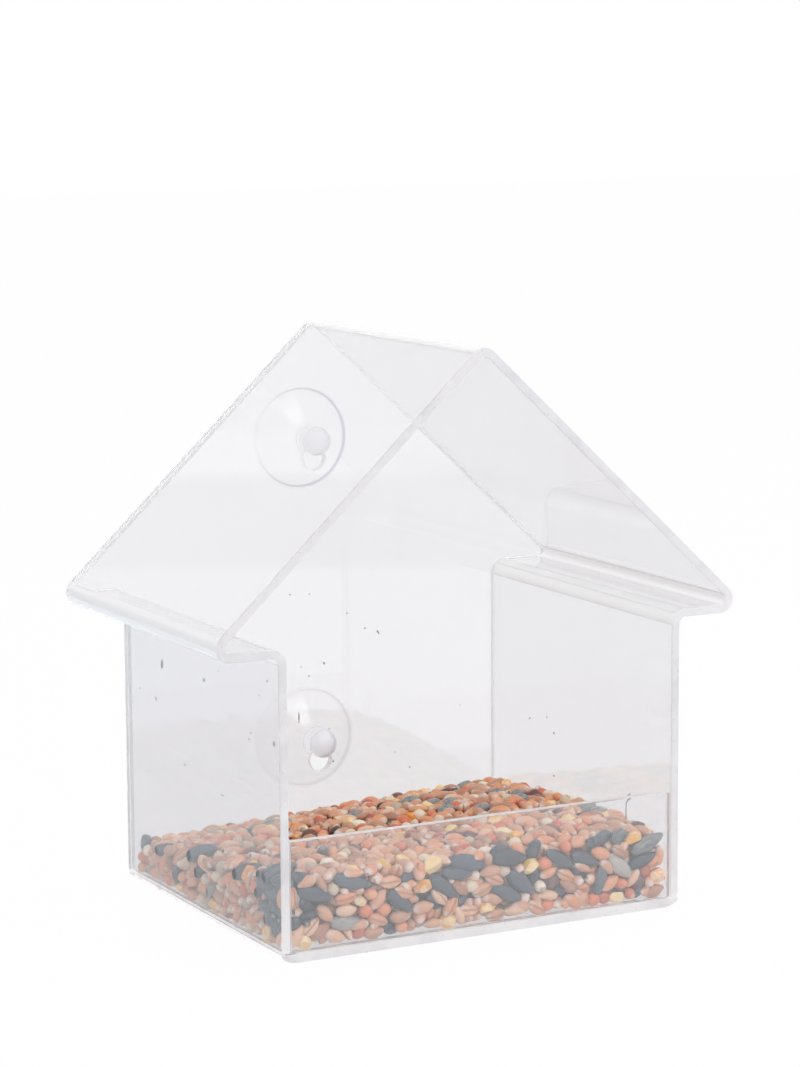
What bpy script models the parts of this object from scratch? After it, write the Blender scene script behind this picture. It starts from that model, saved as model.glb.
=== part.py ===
"""Window bird feeder: a clear acrylic house, open at the front, held to a window pane by two suction cups.

Metres, +Z up. The front is towards -Y and the window pane is towards +Y. The origin is on the surface
that the feeder stands on, in the middle of its width and of its whole depth, suction cups included.
"""

from math import atan2, ceil, cos, pi, radians, sin, sqrt, tan

import bmesh
import bpy
from mathutils import Vector, noise

# House, measured on its outside faces
SHEET = 0.0024                # thickness of every acrylic piece
DEPTH = 0.100                 # front edge to back edge
WALL_SPAN = 0.120             # over both side walls
EAVE_SPAN = 0.166             # between the lines where slope and soffit planes meet
SOFFIT_HEIGHT = 0.080         # underside of the floor to the underside of the eaves
RIDGE_HEIGHT = 0.1575         # underside of the floor to the line where the roof planes meet
RIDGE_BEND = 0.0020           # inside radius of the bend at the ridge
EAVE_BEND = 0.0014            # inside radius of the bend at each eave
SOFFIT_BEND = 0.0020          # inside radius of the bend from wall to soffit, which lies on its outer side
BOND = 0.0003                 # glue line between two bonded pieces
BEND_STEP = radians(9)        # greatest turn of one facet in a bend

# Floor plate
FLOOR_ROUND_WIDTH = 0.0052    # how far in the rounding under each side edge starts
FLOOR_ROUND_HEIGHT = 0.0022   # how high it reaches up that edge
FLOOR_ROUND_STEPS = 6

# Front lip
LIP_HEIGHT = 0.032            # underside of the floor to the lip's top edge

# Keyholes in the back panel
UPPER_SEAT_DROP = 0.0372      # from the line where the roof planes meet down to the upper suction cup's neck
LOWER_SEAT_HEIGHT = 0.0333    # underside of the floor to the neck of the lower one
KEYHOLE_DROP = 0.0050         # from the seat of the neck down to the centre of the wide hole
KEYHOLE_RADIUS = 0.0035       # wide hole, which the head is pressed through
NECK_CLEARANCE = 0.0003       # between the neck and the sides of its slot
KEYHOLE_ARC_STEP = radians(12)

# Suction cup, moulded in one piece
NECK_RADIUS = 0.0025
HEAD_RADIUS = 0.0041
HEAD_HEIGHT = 0.0044
HEAD_BAND = 0.0011            # height of the head's rounded edge below its dome
SHOULDER_RADIUS = 0.0045
SHOULDER_THICKNESS = 0.0012
GRIP_CLEARANCE = 0.0003       # between the panel's faces and the head and shoulder on either side
STEM_RADIUS = 0.0040
CUP_RADIUS = 0.0150
CUP_STANDOFF = 0.0085         # back of the panel to the plane of the cup's rim
BOWL_DEPTH = 0.0043
RIM_THICKNESS = 0.0008
RIM_LAND = 0.0012             # flat ring that meets the window pane
FLARE_SAG_SHARE = 0.45        # how far the disc's back sags below a straight cone
CUP_STEPS = 40                # facets round the cup
HEAD_STEPS = 7
FLARE_STEPS = 9
BOWL_STEPS = 7

# Seed in the tray, as heights over the floor plate's top
SEED_FRONT_LEFT = 0.0195
SEED_FRONT_RIGHT = 0.0183
SEED_BACK_RIGHT = 0.0146
SEED_BACK_LEFT = 0.0095
SEED_CROWN = 0.0041           # extra height in the middle of the bed
SEED_CLEARANCE = 0.0003
SEED_CELL = 0.0022            # facet size of the bed's surface
SEED_LAYERS = 7               # facets up the bed's sides
GRAIN_SPACING = 0.0062        # from the middle of one grain to the next
GRAIN_RELIEF = 0.0020         # how far the hollows between grains go in
GRAIN_ROUND_SHARE = 0.55      # how much of a grain is taken by its rounded edge

# Places along Y and Z that follow from the sizes above
front_y = -(DEPTH + CUP_STANDOFF) / 2
back_y = front_y + DEPTH
panel_middle_y = back_y - SHEET / 2
bonded_floor = SHEET + BOND   # foot of what stands on the floor plate
upper_seat_height = RIDGE_HEIGHT - UPPER_SEAT_DROP


def clear_scene():
    for obj in list(bpy.data.objects):
        bpy.data.objects.remove(obj, do_unlink=True)


def make_material(name, colour, roughness, transmission=0.0, ior=1.45, alpha=1.0):
    material = bpy.data.materials.new(name)
    material.use_nodes = True
    shader = material.node_tree.nodes["Principled BSDF"]
    shader.inputs["Base Color"].default_value = (*colour, 1.0)
    shader.inputs["Roughness"].default_value = roughness
    shader.inputs["Metallic"].default_value = 0.0
    shader.inputs["Transmission Weight"].default_value = transmission
    shader.inputs["IOR"].default_value = ior
    shader.inputs["Alpha"].default_value = alpha
    material.diffuse_color = (*colour, alpha)
    return material


def finish(obj, material, root):
    """Puts a finished piece into the collection, under the root, with its material and smooth round faces."""
    obj.data.materials.append(material)
    obj.parent = root
    collection.objects.link(obj)
    if obj.type == "MESH":
        obj.data.shade_smooth()
        obj.data.set_sharp_from_angle(angle=radians(35))
    return obj


def inset_path(corners, distance):
    """Moves each straight run of an open path by distance to its right, and meets the runs again."""
    runs = []
    for start, end in zip(corners, corners[1:]):
        along = (end - start).normalized()
        shift = Vector((along.y, -along.x)) * distance
        runs.append((start + shift, along))
    moved = [runs[0][0]]
    for (point, along), (other_point, other_along) in zip(runs, runs[1:]):
        gap = other_point - point
        reach = gap.cross(other_along) / along.cross(other_along)
        moved.append(point + along * reach)
    last_point, last_along = runs[-1]
    moved.append(last_point + last_along * (corners[-1] - corners[-2]).length)
    return moved


def bend_corner(before, corner, after, radius):
    """Points of the arc that rounds one corner of a path."""
    arrive = (corner - before).normalized()
    leave = (after - corner).normalized()
    turn = atan2(arrive.cross(leave), arrive.dot(leave))
    side = 1 if turn > 0 else -1
    start = corner - arrive * radius * tan(abs(turn) / 2)
    centre = start + Vector((-arrive.y, arrive.x)) * radius * side
    steps = max(2, ceil(abs(turn) / BEND_STEP))
    spoke = start - centre
    arc = []
    for step in range(steps + 1):
        angle = turn * step / steps
        arc.append(centre + Vector((spoke.x * cos(angle) - spoke.y * sin(angle),
                                    spoke.x * sin(angle) + spoke.y * cos(angle))))
    return arc


def bent_path(corners, radii):
    """An open path with every inner corner rounded by its radius."""
    points = [corners[0]]
    for index, radius in enumerate(radii):
        points += bend_corner(*corners[index:index + 3], radius)
    return points + [corners[-1]]


def house_corners():
    """Corners of the shell's outside, from the foot of the left wall over the ridge to the right one."""
    left_half = [
        Vector((-WALL_SPAN / 2, bonded_floor)),
        Vector((-WALL_SPAN / 2, SOFFIT_HEIGHT)),
        Vector((-EAVE_SPAN / 2, SOFFIT_HEIGHT)),
    ]
    right_half = [Vector((-corner.x, corner.y)) for corner in reversed(left_half)]
    return left_half + [Vector((0, RIDGE_HEIGHT))] + right_half


def house_path(inwards):
    """The shell's outline this far in from its outside, with the bend radii that belong there."""
    eave = EAVE_BEND + SHEET - inwards
    ridge = RIDGE_BEND + SHEET - inwards
    soffit = SOFFIT_BEND + inwards
    return bent_path(inset_path(house_corners(), inwards), [soffit, eave, ridge, eave, soffit])


def make_house_shell(material, root):
    """One strip of sheet, bent along lines that run from front to back."""
    mesh = bpy.data.meshes.new("house_shell")
    bm = bmesh.new()
    points = [bm.verts.new((point.x, 0, point.y)) for point in house_path(SHEET / 2)]
    edges = [bm.edges.new(pair) for pair in zip(points, points[1:])]
    strip = bmesh.ops.extrude_edge_only(bm, edges=edges)["geom"]
    far_edge = [item for item in strip if isinstance(item, bmesh.types.BMVert)]
    bmesh.ops.translate(bm, verts=far_edge, vec=(0, DEPTH, 0))
    bm.to_mesh(mesh)
    bm.free()
    shell = bpy.data.objects.new("house_shell", mesh)
    shell.location.y = front_y
    sheet = shell.modifiers.new("sheet", "SOLIDIFY")
    sheet.thickness = SHEET
    sheet.offset = 0
    sheet.use_even_offset = True
    return finish(shell, material, root)


def make_plate(name, outlines, thickness, middle_y, material, root):
    """A flat plate whose first outline is its edge and whose others are holes, all in X and Z."""
    curve = bpy.data.curves.new(name, "CURVE")
    curve.dimensions = "2D"
    curve.fill_mode = "BOTH"
    curve.extrude = thickness / 2
    for outline in outlines:
        spline = curve.splines.new("POLY")
        spline.points.add(len(outline) - 1)
        for point, (x, z) in zip(spline.points, outline):
            point.co = (x, z, 0, 1)
        spline.use_cyclic_u = True
    plate = bpy.data.objects.new(name, curve)
    plate.location.y = middle_y
    plate.rotation_euler.x = pi / 2
    return finish(plate, material, root)


def floor_outline():
    """The floor's section: flat, with a quarter ellipse under each side edge."""
    right = []
    for step in range(FLOOR_ROUND_STEPS + 1):
        angle = pi / 2 * step / FLOOR_ROUND_STEPS
        right.append((WALL_SPAN / 2 - FLOOR_ROUND_WIDTH * (1 - sin(angle)),
                      FLOOR_ROUND_HEIGHT * (1 - cos(angle))))
    right.append((WALL_SPAN / 2, SHEET))
    left = [(-x, z) for x, z in reversed(right)]
    return right + left


def keyhole_outline(seat_height):
    """A slot with a round top, where the neck sits, that widens into a round hole below."""
    slot = NECK_RADIUS + NECK_CLEARANCE
    hole_height = seat_height - KEYHOLE_DROP
    neck_rise = sqrt(KEYHOLE_RADIUS ** 2 - slot ** 2)
    mouth = atan2(neck_rise, slot)
    hole_turn = pi + 2 * mouth
    hole_steps = ceil(hole_turn / KEYHOLE_ARC_STEP)
    top_steps = ceil(pi / KEYHOLE_ARC_STEP)
    outline = []
    for step in range(hole_steps + 1):
        angle = pi - mouth + hole_turn * step / hole_steps
        outline.append((KEYHOLE_RADIUS * cos(angle), hole_height + KEYHOLE_RADIUS * sin(angle)))
    for step in range(top_steps + 1):
        angle = pi * step / top_steps
        outline.append((slot * cos(angle), seat_height + slot * sin(angle)))
    return outline


def make_back_panel(material, root):
    edge = [(point.x, point.y) for point in house_path(SHEET + BOND)]
    outlines = [edge, keyhole_outline(upper_seat_height), keyhole_outline(LOWER_SEAT_HEIGHT)]
    return make_plate("back_panel", outlines, SHEET, panel_middle_y, material, root)


def make_front_lip(material, root):
    side = WALL_SPAN / 2 - SHEET - BOND
    outline = [(-side, bonded_floor), (side, bonded_floor), (side, LIP_HEIGHT), (-side, LIP_HEIGHT)]
    return make_plate("front_lip", [outline], SHEET, front_y + SHEET / 2, material, root)


def cup_profile():
    """Half section of the suction cup from the head's top down its outside, then up its bowl to the axis.

    The height is counted from the middle of the panel, towards the room."""
    head_base = SHEET / 2 + GRIP_CLEARANCE
    dome_height = HEAD_HEIGHT - HEAD_BAND
    band_top = head_base + HEAD_BAND
    profile = []
    for step in range(HEAD_STEPS + 1):
        angle = pi / 2 * step / HEAD_STEPS
        profile.append((HEAD_RADIUS * sin(angle), band_top + dome_height * cos(angle)))
    for step in range(1, HEAD_STEPS // 2 + 1):
        angle = pi / 2 * step / (HEAD_STEPS // 2)
        profile.append((HEAD_RADIUS - HEAD_BAND * (1 - cos(angle)), band_top - HEAD_BAND * sin(angle)))
    shoulder = -head_base
    profile += [(NECK_RADIUS, head_base), (NECK_RADIUS, shoulder), (SHOULDER_RADIUS, shoulder)]
    stem_foot = shoulder - SHOULDER_THICKNESS
    profile += [(SHOULDER_RADIUS, stem_foot), (STEM_RADIUS, stem_foot)]
    rim = -(SHEET / 2 + CUP_STANDOFF)
    rim_back = rim + RIM_THICKNESS
    for step in range(1, FLARE_STEPS + 1):
        share = step / FLARE_STEPS
        radius = STEM_RADIUS + (CUP_RADIUS - STEM_RADIUS) * share
        profile.append((radius, rim_back + (stem_foot - rim_back) * (1 - share) * (1 - share * FLARE_SAG_SHARE)))
    bowl_radius = CUP_RADIUS - RIM_LAND
    profile += [(CUP_RADIUS, rim)]
    for step in range(BOWL_STEPS + 1):
        share = 1 - step / BOWL_STEPS
        profile.append((bowl_radius * share, rim + BOWL_DEPTH * (1 - share ** 2)))
    return profile


def make_suction_cup(name, seat_height, mesh, material, root):
    cup = bpy.data.objects.new(name, mesh.copy())
    cup.location = (0, panel_middle_y, seat_height)
    cup.rotation_euler.x = pi / 2
    turn = cup.modifiers.new("turned", "SCREW")
    turn.axis = "Z"
    turn.steps = CUP_STEPS
    turn.render_steps = CUP_STEPS
    turn.use_merge_vertices = True
    turn.merge_threshold = 0.00001
    return finish(cup, material, root)


def cup_mesh():
    profile = [(radius, 0, height) for radius, height in cup_profile()]
    edges = [(index, index + 1) for index in range(len(profile) - 1)]
    mesh = bpy.data.meshes.new("suction_cup")
    mesh.from_pydata(profile, edges, [])
    return mesh


def seed_height(across, along):
    """Height of the bed over the floor plate, at shares of the tray's width and depth."""
    front = SEED_FRONT_LEFT * (1 - across) + SEED_FRONT_RIGHT * across
    back = SEED_BACK_LEFT * (1 - across) + SEED_BACK_RIGHT * across
    crown = SEED_CROWN * sin(pi * across) * sin(pi * along)
    return front * (1 - along) + back * along + crown


def cut_across(bm, axis, count):
    """Cuts a unit block into this many slices along one axis."""
    for step in range(1, count):
        place = Vector()
        place[axis] = step / count - 0.5
        facing = Vector()
        facing[axis] = 1
        bmesh.ops.bisect_plane(bm, geom=bm.verts[:] + bm.edges[:] + bm.faces[:], plane_co=place, plane_no=facing)


def grain_hollow(place):
    """How deep in the hollow between grains a place lies, from 0 on a grain to 1 where grains meet."""
    distances, _ = noise.voronoi(place / GRAIN_SPACING)
    return max(0, 1 - (distances[1] - distances[0]) / GRAIN_ROUND_SHARE) ** 2


def make_seed_mix(material, root):
    """The bed of seed: a block that fills the tray, with a sloping top, grains on all that can be seen of it."""
    width = WALL_SPAN - 2 * (SHEET + SEED_CLEARANCE)
    depth = DEPTH - 2 * (SHEET + SEED_CLEARANCE)
    mesh = bpy.data.meshes.new("seed_mix")
    bm = bmesh.new()
    bmesh.ops.create_cube(bm, size=1)
    for axis, count in enumerate((ceil(width / SEED_CELL), ceil(depth / SEED_CELL), SEED_LAYERS)):
        cut_across(bm, axis, count)
    bmesh.ops.dissolve_faces(bm, faces=[face for face in bm.faces if face.normal.z < -0.5])
    for vert in bm.verts:
        across, along, up = (part + 0.5 for part in vert.co)
        vert.co = (vert.co.x * width, vert.co.y * depth, up * seed_height(across, along))
    bm.normal_update()
    inwards = [-vert.normal * GRAIN_RELIEF * grain_hollow(vert.co) for vert in bm.verts]
    for vert, move in zip(bm.verts, inwards):
        if vert.co.z == 0:
            move.z = 0
        vert.co += move
    bm.to_mesh(mesh)
    bm.free()
    bed = bpy.data.objects.new("seed_mix", mesh)
    bed.location = (0, front_y + DEPTH / 2, SHEET + SEED_CLEARANCE)
    return finish(bed, material, root)


clear_scene()
collection = bpy.data.collections.new("window_bird_feeder")
bpy.context.scene.collection.children.link(collection)
feeder = bpy.data.objects.new("window_bird_feeder", None)
collection.objects.link(feeder)

acrylic = make_material("clear_acrylic", (0.94, 0.95, 0.97), 0.04, transmission=1.0, ior=1.49, alpha=0.35)
soft_plastic = make_material("clear_soft_plastic", (0.93, 0.94, 0.95), 0.12, transmission=0.95, ior=1.52, alpha=0.45)
grain = make_material("mixed_seed", (0.62, 0.40, 0.28), 0.7)

make_house_shell(acrylic, feeder)
make_plate("floor_plate", [floor_outline()], DEPTH, front_y + DEPTH / 2, acrylic, feeder)
make_back_panel(acrylic, feeder)
make_front_lip(acrylic, feeder)
cup_section = cup_mesh()
make_suction_cup("upper_suction_cup", upper_seat_height, cup_section, soft_plastic, feeder)
make_suction_cup("lower_suction_cup", LOWER_SEAT_HEIGHT, cup_section, soft_plastic, feeder)
make_seed_mix(grain, feeder)
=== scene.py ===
import bpy
import bmesh
import numpy as np
from math import atan2, cos, pi, radians, sin, sqrt, tan
from types import SimpleNamespace
from mathutils import Matrix, Vector, noise
from mathutils.kdtree import KDTree


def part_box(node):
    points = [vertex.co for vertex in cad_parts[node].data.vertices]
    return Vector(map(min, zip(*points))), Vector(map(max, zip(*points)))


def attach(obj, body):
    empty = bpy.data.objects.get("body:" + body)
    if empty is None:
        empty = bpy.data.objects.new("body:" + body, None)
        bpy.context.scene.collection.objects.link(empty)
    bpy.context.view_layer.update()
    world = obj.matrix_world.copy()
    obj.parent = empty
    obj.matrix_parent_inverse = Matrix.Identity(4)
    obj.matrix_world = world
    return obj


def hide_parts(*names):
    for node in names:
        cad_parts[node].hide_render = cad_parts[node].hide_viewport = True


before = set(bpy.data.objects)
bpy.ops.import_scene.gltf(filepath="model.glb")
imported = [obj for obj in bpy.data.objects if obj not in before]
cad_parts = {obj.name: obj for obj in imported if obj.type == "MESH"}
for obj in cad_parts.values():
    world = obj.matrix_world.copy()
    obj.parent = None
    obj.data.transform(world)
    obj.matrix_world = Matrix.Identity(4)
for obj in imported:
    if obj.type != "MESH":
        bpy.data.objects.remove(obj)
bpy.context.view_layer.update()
frontY, backY = (corner.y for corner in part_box("floor_plate"))
scene = bpy.context.scene
scene.view_settings.view_transform = "Standard"
print("frame loaded:", ", ".join(sorted(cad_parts)))


# Shader maths as plain Python expressions

class Wire:
    # one shader socket; + - * / and ** add the Math nodes
    def __init__(self, tree, socket):
        self.tree = tree
        self.socket = socket

    def maths(self, operation, *others):
        return addNode(self.tree, "ShaderNodeMath", dict(operation=operation),
                       dict(enumerate((self, *others))))

    def __add__(self, other):
        return self.maths("ADD", other)

    def __sub__(self, other):
        return self.maths("SUBTRACT", other)

    def __rsub__(self, other):
        return self.maths("MULTIPLY", -1).maths("ADD", other)

    def __mul__(self, other):
        return self.maths("MULTIPLY", other)

    def __truediv__(self, other):
        return self.maths("DIVIDE", other)

    def __pow__(self, other):
        return self.maths("POWER", other)

    def above(self, edge, softness=0.05):
        # 0 below the edge, 1 above it, with a soft step between
        return ((self - edge) / softness).maths("ADD", 0.5).maths("MAXIMUM", 0).maths("MINIMUM", 1)

    __radd__ = __add__
    __rmul__ = __mul__


def addNode(tree, kind, settings=None, sockets=None, out=0):
    # a node with its settings, then its sockets by name or number, given as values or wires
    node = tree.nodes.new(kind)
    for name, value in (settings or {}).items():
        if name == "stops":
            ramp = node.color_ramp
            while len(ramp.elements) < len(value):
                ramp.elements.new(1.0)
            for element, (place, colour) in zip(ramp.elements, value):
                element.position = place
                element.color = (*colour, 1.0)
        else:
            setattr(node, name, value)
    for name, value in (sockets or {}).items():
        if isinstance(value, Wire):
            tree.links.new(value.socket, node.inputs[name])
        elif isinstance(value, tuple) and len(value) == 3 and node.inputs[name].type == "RGBA":
            node.inputs[name].default_value = (*value, 1.0)
        else:
            node.inputs[name].default_value = value
    return Wire(tree, node.outputs[out])


def blendColour(share, first, second, mode="MIX"):
    # first where share is 0, second where it is 1
    tree = next(value.tree for value in (share, first, second) if isinstance(value, Wire))
    return addNode(tree, "ShaderNodeMix", dict(data_type="RGBA", blend_type=mode),
                   {0: share, 6: first, 7: second}, 2)


def objectPlace(tree):
    return addNode(tree, "ShaderNodeTexCoord", None, None, "Object")


def splitAxes(tree, vector, axes="XYZ"):
    return [addNode(tree, "ShaderNodeSeparateXYZ", None, {0: vector}, axis) for axis in axes]


def noiseOver(tree, place, scale, detail, roughness=0.5):
    return addNode(tree, "ShaderNodeTexNoise", None,
                   dict(Vector=place, Scale=scale, Detail=detail, Roughness=roughness))


def rayKinds(tree, *names):
    # 1 for rays of each kind, 0 for all others
    return [addNode(tree, "ShaderNodeLightPath", None, None, f"Is {name} Ray") for name in names]


def newMaterial(name, volume=None, **shaderValues):
    # a Principled shader with its constant values; volume is the colour and density of an absorbing body
    material = bpy.data.materials.new(name)
    material.use_nodes = True
    tree = material.node_tree
    shader = tree.nodes["Principled BSDF"]
    for socketName, value in shaderValues.items():
        socket = shader.inputs[socketName.replace("_", " ")]
        socket.default_value = (*value, 1.0) if socket.type == "RGBA" else value
    if volume:
        colour, density = volume
        inside = addNode(tree, "ShaderNodeVolumeAbsorption", None, dict(Color=colour, Density=density))
        tree.links.new(inside.socket, tree.nodes["Material Output"].inputs["Volume"])
    return material, tree, shader


def feed(tree, shader, **wires):
    for socketName, wire in wires.items():
        tree.links.new(wire.socket, shader.inputs[socketName.replace("_", " ")])


# Camera, at the photograph's viewing angle

photoView = dict(
    turn=radians(-27.73), rise=radians(8.60), roll=radians(-0.36),      # from the front, above level, tilt
    distance=0.8899, lens=109.7, target=Vector((0.00097, -0.00476, 0.10086)),
)


def aimCamera(view):
    towards = Vector((sin(view["turn"]) * cos(view["rise"]), -cos(view["turn"]) * cos(view["rise"]),
                      sin(view["rise"])))
    level = Vector((cos(view["turn"]), sin(view["turn"]), 0))
    upright = towards.cross(level)
    right = level * cos(view["roll"]) + upright * sin(view["roll"])
    up = upright * cos(view["roll"]) - level * sin(view["roll"])
    camera = bpy.data.objects.new("camera", bpy.data.cameras.new("camera"))
    camera.data.sensor_width = 36
    camera.data.lens = view["lens"]
    turned = Matrix((right, up, towards)).transposed().to_4x4()
    camera.matrix_world = Matrix.Translation(view["target"] + towards * view["distance"]) @ turned
    camera.data.clip_start = 0.05
    camera.data.clip_end = 20
    scene.collection.objects.link(camera)
    scene.camera = camera


aimCamera(photoView)
print("camera placed")


# Studio: white background, a room in front that the panes mirror, a pale table, soft lamps

studio = dict(
    backdrop=1.0, backdropInGlass=0.93,     # brightness behind the feeder, bare and through the panes
    plain=0.80,                             # the even light that reaches matt surfaces
    room=dict(table=1.7, dark=0.90, band=2.2, high=1.7),        # mirrored bands, from below
    slopes=dict(dark=-0.1620, band=-0.1329, high=-0.119),       # their lower edges, seen from the feeder
    slopeSoftness=0.003, leastAhead=0.05, mirrorTint=(0.88, 0.97, 1.03),
    behindHigh=1.35, behindLevel=0.90, behindLow=1.32,
    highFrom=(0.1, 0.2), lowFrom=(0.3, 0.1), windowSide=(0.05, 0.3),    # edge and softness of each
    tableFront=-0.5, tableBack=4.0, tableHalf=3.0,
    tableColour=(0.90, 0.895, 0.915), tableShare=0.97, tableShareInGlass=0.85, tableClear=(0.006, 0.004),
)

softLamps = {
    "keyLamp": dict(place=(0.10, -0.85, 1.15), size=(0.9, 0.9), power=5.0),
    "fillLamp": dict(place=(0.9, -0.5, 0.7), size=(0.7, 0.7), power=1.6),
}


def makeWorld():
    world = bpy.data.worlds.new("studio")
    world.use_nodes = True
    scene.world = world
    tree = world.node_tree
    background = tree.nodes["Background"]
    direction = addNode(tree, "ShaderNodeTexCoord", None, None, "Generated")
    x, y, z = splitAxes(tree, direction)
    ahead = (x * -sin(photoView["turn"]) - y * cos(photoView["turn"])).maths("MAXIMUM", studio["leastAhead"])
    slope = z / ahead
    room = level = studio["room"]["table"]
    steps = {}
    for name, edge in studio["slopes"].items():
        steps[name] = slope.above(edge, studio["slopeSoftness"])
        room = steps[name] * (studio["room"][name] - level) + room
        level = studio["room"][name]
    high, low = z.above(*studio["highFrom"]), (z * -1).above(*studio["lowFrom"])
    behind = (high * (studio["behindHigh"] - studio["behindLevel"])
              + low * (studio["behindLow"] - studio["behindLevel"]) + studio["behindLevel"])
    camera, through, glossy = rayKinds(tree, "Camera", "Transmission", "Glossy")
    behind = through * studio["backdropInGlass"] + (1 - through) * behind
    share = y.above(*studio["windowSide"])
    shown = room * (1 - share) + behind * share
    clear = through.maths("MAXIMUM", glossy)
    matt = clear * shown + (1 - clear) * studio["plain"]
    strength = camera * studio["backdrop"] + (1 - camera) * matt
    tinted = (1 - steps["dark"]).maths("MAXIMUM", share * (1 - high))
    tint = blendColour((1 - camera) * (1 - through) * tinted, (1.0, 1.0, 1.0), studio["mirrorTint"])
    feed(tree, background, Strength=strength, Color=tint)


def makeTable():
    bm = bmesh.new()
    bmesh.ops.create_grid(bm, x_segments=8, y_segments=8, size=0.5)
    depth = studio["tableBack"] - studio["tableFront"]
    bmesh.ops.scale(bm, verts=bm.verts, vec=(2 * studio["tableHalf"], depth, 1))
    bmesh.ops.translate(bm, verts=bm.verts, vec=(0, studio["tableFront"] + depth / 2, 0))
    table = finishMesh("table", bm)
    material, tree, shader = newMaterial("paleTable", Base_Color=studio["tableColour"], Roughness=0.7,
                                         Specular_IOR_Level=0.1)
    camera, mirrored, through = rayKinds(tree, "Camera", "Glossy", "Transmission")
    brightness = studio["backdropInGlass"] + camera * (studio["backdrop"] - studio["backdropInGlass"])
    white = addNode(tree, "ShaderNodeEmission", None, dict(Color=(1, 1, 1), Strength=brightness))
    inGlass = mirrored.maths("MAXIMUM", through)
    share = (camera * studio["tableShare"]).maths("MAXIMUM", inGlass * studio["tableShareInGlass"])
    surface = Wire(tree, shader.outputs[0])
    mixed = addNode(tree, "ShaderNodeMixShader", None, {0: share, 1: surface, 2: white})
    gap, softness = studio["tableClear"]
    inFront = (splitAxes(tree, objectPlace(tree), "Y")[0] * -1).above(-frontY + gap, softness)
    clear = addNode(tree, "ShaderNodeBsdfTransparent")
    mixed = addNode(tree, "ShaderNodeMixShader", None, {0: inGlass * inFront, 1: mixed, 2: clear})
    tree.links.new(mixed.socket, tree.nodes["Material Output"].inputs["Surface"])
    table.data.materials.append(material)
    table.visible_glossy = False            # what the panes mirror is in the world's pattern


def makeLamps():
    middle = Vector((0, 0, 0.07))
    for name, lamp in softLamps.items():
        light = bpy.data.lights.new(name, "AREA")
        light.shape = "RECTANGLE"
        light.size, light.size_y = lamp["size"]
        light.energy = lamp["power"]
        holder = bpy.data.objects.new(name, light)
        holder.location = lamp["place"]
        holder.rotation_euler = (middle - holder.location).to_track_quat("-Z", "Y").to_euler()
        scene.collection.objects.link(holder)


# Meshes

def finishMesh(name, bm, sharpAngle=radians(15)):
    # writes a bmesh into a new object at the origin, smooth but for its sharp edges
    mesh = bpy.data.meshes.new(name)
    bm.to_mesh(mesh)
    bm.free()
    mesh.shade_smooth()
    mesh.set_sharp_from_angle(angle=sharpAngle)
    obj = bpy.data.objects.new(name, mesh)
    scene.collection.objects.link(obj)
    return obj


def polishEdges(bm, width):
    # the narrow polished edge all round a cut sheet
    corners = [edge for edge in bm.edges if edge.is_manifold and edge.calc_face_angle() > radians(60)]
    bmesh.ops.bevel(bm, geom=corners, offset=width, affect="EDGES", segments=2, profile=0.5, material=-1,
                    clamp_overlap=True)


def quarterTurn(facets):
    return [pi / 2 * step / facets for step in range(facets + 1)]


# Acrylic house

acrylic = dict(
    # light is the strength of the welded foot's painted glow, which is no lamp
    body=((0.80, 0.80, 0.84), 6.0), bending=1.49, fineGrain=(1500.0, 2.0), light=0.20,
    # a noise, its edge and softness make patches of the second tint; a pattern adds to the least roughness
    clearAcrylic=dict(
        clear=0.95, tints=((0.922, 0.914, 0.929), (0.912, 0.904, 0.919)), stretch=(1.0, 1.0, 1.0),
        noise=(90.0, 4.0, 0.6), patches=(0.62, 0.12), rough=(0.004, 0.012, "patches")),
    cutEdge=dict(
        clear=0.35, tints=((0.875, 0.86, 0.87), (0.80, 0.79, 0.805)), stretch=(1.0, 1.0, 1.0),
        noise=(120.0, 5.0, 0.6), patches=(0.55, 0.15), rough=(0.22, 0.2, "fine")),
    # the bends' pale milky white is a painted highlight in place of the glints along them
    bentSheet=dict(
        clear=0.38, tints=((0.99, 0.985, 0.985), (0.96, 0.95, 0.955)), stretch=(900.0, 25.0, 900.0),
        noise=(1.0, 3.0), patches=(0.5, 1.0), rough=(0.05, 0.08, "noise")),
    weldedFootPaintedGlow=dict(
        clear=0.15, tints=((0.98, 0.975, 0.98), (0.80, 0.79, 0.805)), stretch=(1.0, 0.35, 1.0),
        noise=(420.0, 4.0, 0.55), patches=(0.62, 0.08), rough=(0.35, 0.2, "noise")),
)
sheet = dict(thickness=0.0024, bond=0.0003, polish=0.00022)
house = dict(
    wallSpan=0.120, eaveSpan=0.166, soffitHeight=0.080, ridgeHeight=0.1575,
    ridgeBend=0.0020, eaveBend=0.0014, soffitBend=0.0020,   # inside radii
    bendFacets=20, support=0.0004,
)
floorPlate = dict(roundWidth=0.0052, roundHeight=0.0022, roundFacets=14)
lip = dict(height=0.032)
keyholes = dict(seats=(0.1203, 0.0333), drop=0.0050, radius=0.0035, slot=0.0028, facets=40)

footZ = sheet["thickness"] + sheet["bond"]


def insetPath(corners, distance):
    # moves each run of an open path to its right by distance, and meets the runs again
    runs = []
    for start, end in zip(corners, corners[1:]):
        along = (end - start).normalized()
        runs.append((start + Vector((along.y, -along.x)) * distance, along))
    moved = [runs[0][0]]
    for (point, along), (nextPoint, nextAlong) in zip(runs, runs[1:]):
        reach = (nextPoint - point).cross(nextAlong) / along.cross(nextAlong)
        moved.append(point + along * reach)
    moved.append(runs[-1][0] + runs[-1][1] * (corners[-1] - corners[-2]).length)
    return moved


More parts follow.
